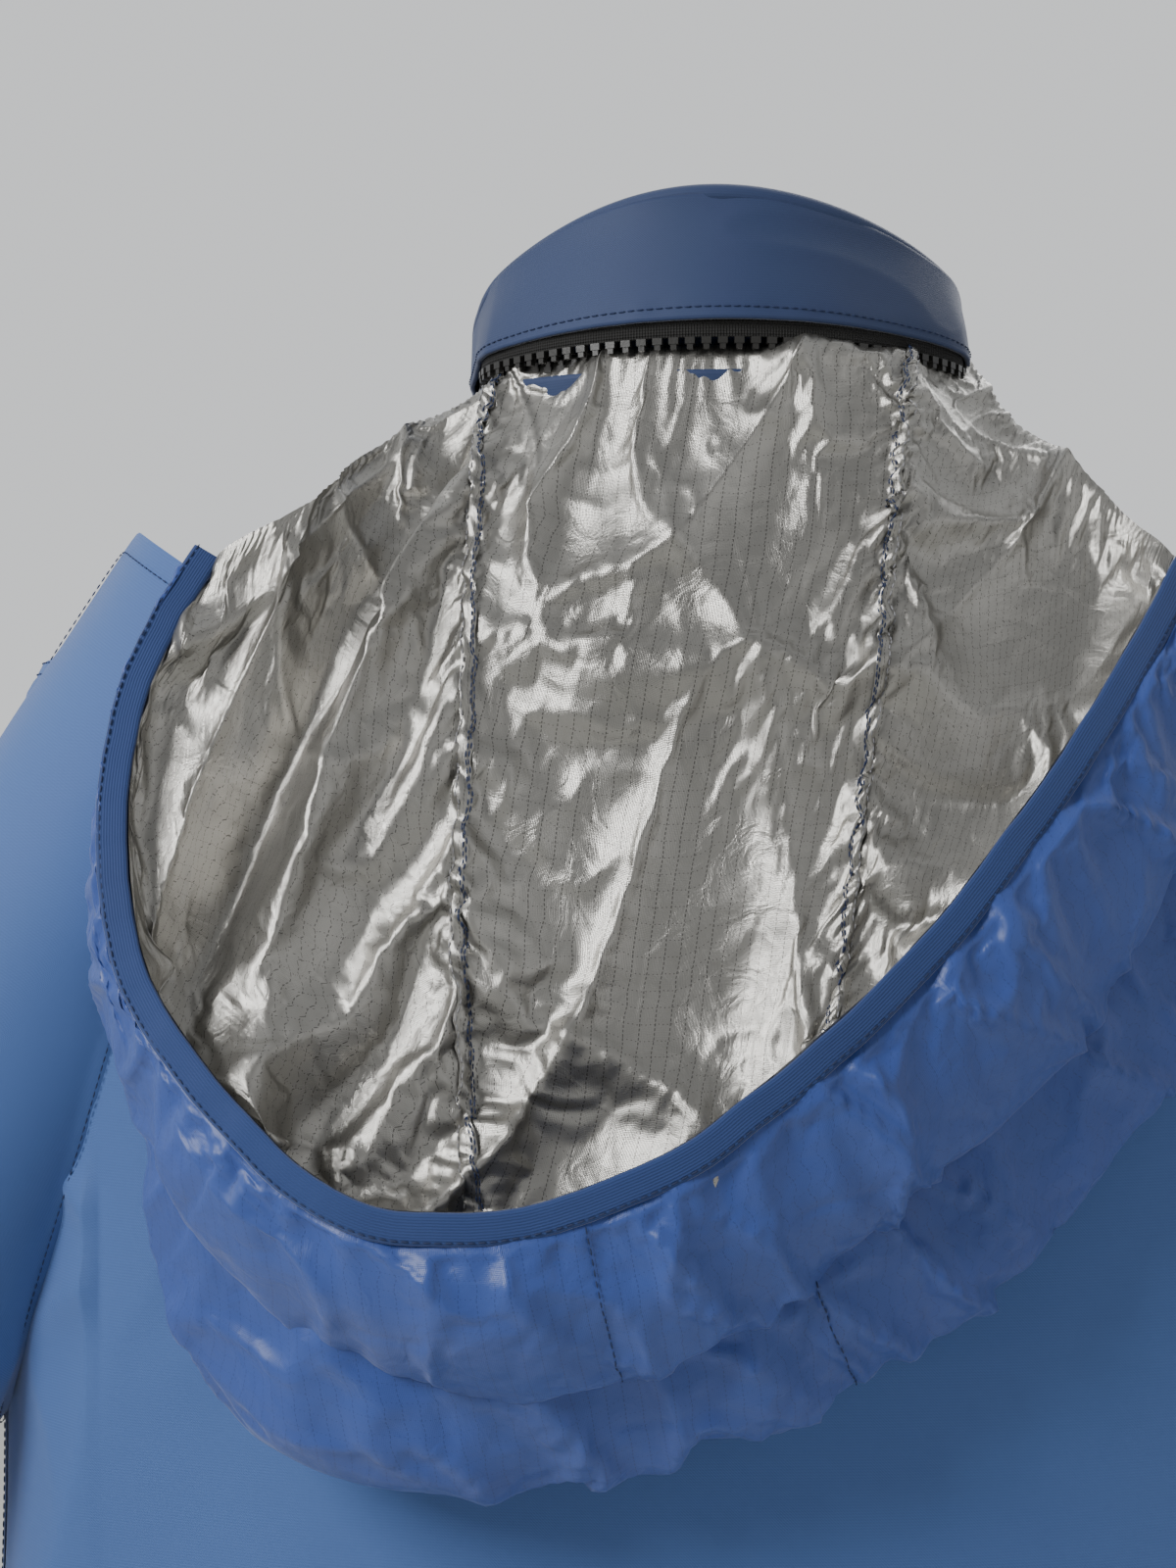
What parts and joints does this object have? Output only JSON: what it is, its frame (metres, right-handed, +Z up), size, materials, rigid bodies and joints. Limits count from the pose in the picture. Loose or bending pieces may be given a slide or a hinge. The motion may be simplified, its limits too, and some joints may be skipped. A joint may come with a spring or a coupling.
{
  "type": "hardshell jacket",
  "caption": "Hip-length zip-front shell jacket with a stow-away hood hanging from the collar pocket, hand pockets and cuff tabs.",
  "frame": {"origin": "centre of the neck opening, level with the collar seam, where a hanger's hook comes through", "axes": "+Z up, -Y the way the wearer faces, +X the wearer's left"},
  "size_m": [0.931, 0.2898, 0.78],
  "materials": {
    "body_shell": "matte",
    "collar_shell": "matte",
    "hood_shell": "satin",
    "hood_lining": "satin",
    "binding": "matte",
    "zip_tape": "matte",
    "zip_teeth": "matte",
    "zip_metal": "satin",
    "pull": "matte",
    "pocket_cloth": "matte",
    "hook_loop": "matte"
  },
  "bodies": {
    "root": {"back_panel": "body_shell", "back_yoke": "body_shell", "front_panel_left": "body_shell", "front_panel_right": "body_shell", "hem_band": "body_shell", "collar_base": "collar_shell", "collar_flap": "collar_shell", "collar_inner": "collar_shell", "collar_top_edge": "collar_shell", "neck_tape": "collar_shell", "collar_zip_tape_lower": "zip_tape", "collar_zip_tape_upper": "zip_tape", "collar_zip_teeth_lower": "zip_teeth", "collar_zip_teeth_upper": "zip_teeth", "front_zip_tape_left": "zip_tape", "front_zip_tape_right": "zip_tape", "front_zip_teeth_left": "zip_teeth", "front_zip_teeth_right": "zip_teeth", "front_zip_retainer": "zip_teeth", "front_zip_top_stops": "zip_teeth", "storm_flap": "body_shell", "hood_neck_strip": "hood_shell", "hang_loop": "collar_shell", "pocket_bag_left": "pocket_cloth", "pocket_zip_tape_left": "zip_tape", "pocket_zip_teeth_left": "zip_teeth", "pocket_bag_right": "pocket_cloth", "pocket_zip_tape_right": "zip_tape", "pocket_zip_teeth_right": "zip_teeth"},
    "hood": {"hood_shell_left": "hood_shell", "hood_shell_centre": "hood_shell", "hood_shell_right": "hood_shell", "hood_lining_left": "hood_lining", "hood_lining_centre": "hood_lining", "hood_lining_right": "hood_lining", "hood_binding": "binding"},
    "upper_sleeve_left_body": {"upper_sleeve_left": "body_shell"},
    "forearm_left_body": {"forearm_sleeve_left": "body_shell", "cuff_left": "body_shell"},
    "cuff_tab_left_body": {"cuff_tab_left": "hook_loop"},
    "pocket_slider_left_body": {"pocket_zip_slider_left": "zip_metal"},
    "pocket_pull_left_body": {"pocket_zip_pull_left": "pull"},
    "upper_sleeve_right_body": {"upper_sleeve_right": "body_shell"},
    "forearm_right_body": {"forearm_sleeve_right": "body_shell", "cuff_right": "body_shell"},
    "cuff_tab_right_body": {"cuff_tab_right": "hook_loop"},
    "pocket_slider_right_body": {"pocket_zip_slider_right": "zip_metal"},
    "pocket_pull_right_body": {"pocket_zip_pull_right": "pull"},
    "front_slider_body": {"front_zip_slider": "zip_metal"},
    "front_pull_body": {"front_zip_pull": "pull"},
    "collar_slider_body": {"collar_zip_slider": "zip_metal"},
    "collar_pull_body": {"collar_zip_pull": "pull"}
  },
  "joints": [
    {"name": "hood_lift", "type": "hinge", "parent": "root", "child": "hood", "pos_m": [0, 0.09, 0.031], "axis": [1, 0, 0], "range_deg": [0, 90]},
    {"name": "left_sleeve_raise", "type": "hinge", "parent": "root", "child": "upper_sleeve_left_body", "pos_m": [0.232, 0.016, -0.056], "axis": [0, -1, 0], "range_deg": [0, 60]},
    {"name": "left_elbow_bend", "type": "hinge", "parent": "upper_sleeve_left_body", "child": "forearm_left_body", "pos_m": [0.35253, -0.041, -0.37558], "axis": [-0.9135, 0, -0.4067], "range_deg": [0, 75]},
    {"name": "left_cuff_tab_peel", "type": "hinge", "parent": "forearm_left_body", "child": "cuff_tab_left_body", "pos_m": [0.44696, 0.04748, -0.62515], "axis": [-0.2419, 0, 0.9703], "range_deg": [0, 100]},
    {"name": "left_pocket_zip_run", "type": "slide", "parent": "root", "child": "pocket_slider_left_body", "axis": [0, 0, 1], "range_m": [-0.15, 0]},
    {"name": "left_pocket_pull_swing", "type": "hinge", "parent": "pocket_slider_left_body", "child": "pocket_pull_left_body", "pos_m": [0.15241, -0.06927, -0.434], "axis": [-0.9486, -0.3165, 0], "range_deg": [0, 150]},
    {"name": "right_sleeve_raise", "type": "hinge", "parent": "root", "child": "upper_sleeve_right_body", "pos_m": [-0.232, 0.016, -0.056], "axis": [0, 1, 0], "range_deg": [0, 60]},
    {"name": "right_elbow_bend", "type": "hinge", "parent": "upper_sleeve_right_body", "child": "forearm_right_body", "pos_m": [-0.35253, -0.041, -0.37558], "axis": [-0.9135, 0, 0.4067], "range_deg": [0, 75]},
    {"name": "right_cuff_tab_peel", "type": "hinge", "parent": "forearm_right_body", "child": "cuff_tab_right_body", "pos_m": [-0.44696, 0.04748, -0.62515], "axis": [-0.2419, 0, -0.9703], "range_deg": [0, 100]},
    {"name": "right_pocket_zip_run", "type": "slide", "parent": "root", "child": "pocket_slider_right_body", "axis": [0, 0, 1], "range_m": [-0.15, 0]},
    {"name": "right_pocket_pull_swing", "type": "hinge", "parent": "pocket_slider_right_body", "child": "pocket_pull_right_body", "pos_m": [-0.15241, -0.06927, -0.434], "axis": [-0.9486, 0.3165, 0], "range_deg": [0, 150]},
    {"name": "front_zip_run", "type": "slide", "parent": "root", "child": "front_slider_body", "axis": [0, 0, 1], "range_m": [-0.74, 0]},
    {"name": "front_pull_swing", "type": "hinge", "parent": "front_slider_body", "child": "front_pull_body", "pos_m": [0, -0.0893, 0.062], "axis": [-1, 0, 0], "range_deg": [0, 150]},
    {"name": "collar_zip_run", "type": "hinge", "parent": "root", "child": "collar_slider_body", "pos_m": [0, 0, 0.032], "axis": [0, 0, 1], "range_deg": [-28, 0]},
    {"name": "collar_pull_swing", "type": "hinge", "parent": "collar_slider_body", "child": "collar_pull_body", "pos_m": [-0.08642, -0.02291, 0.032], "axis": [0, 0, -1], "range_deg": [0, 120]}
  ]
}
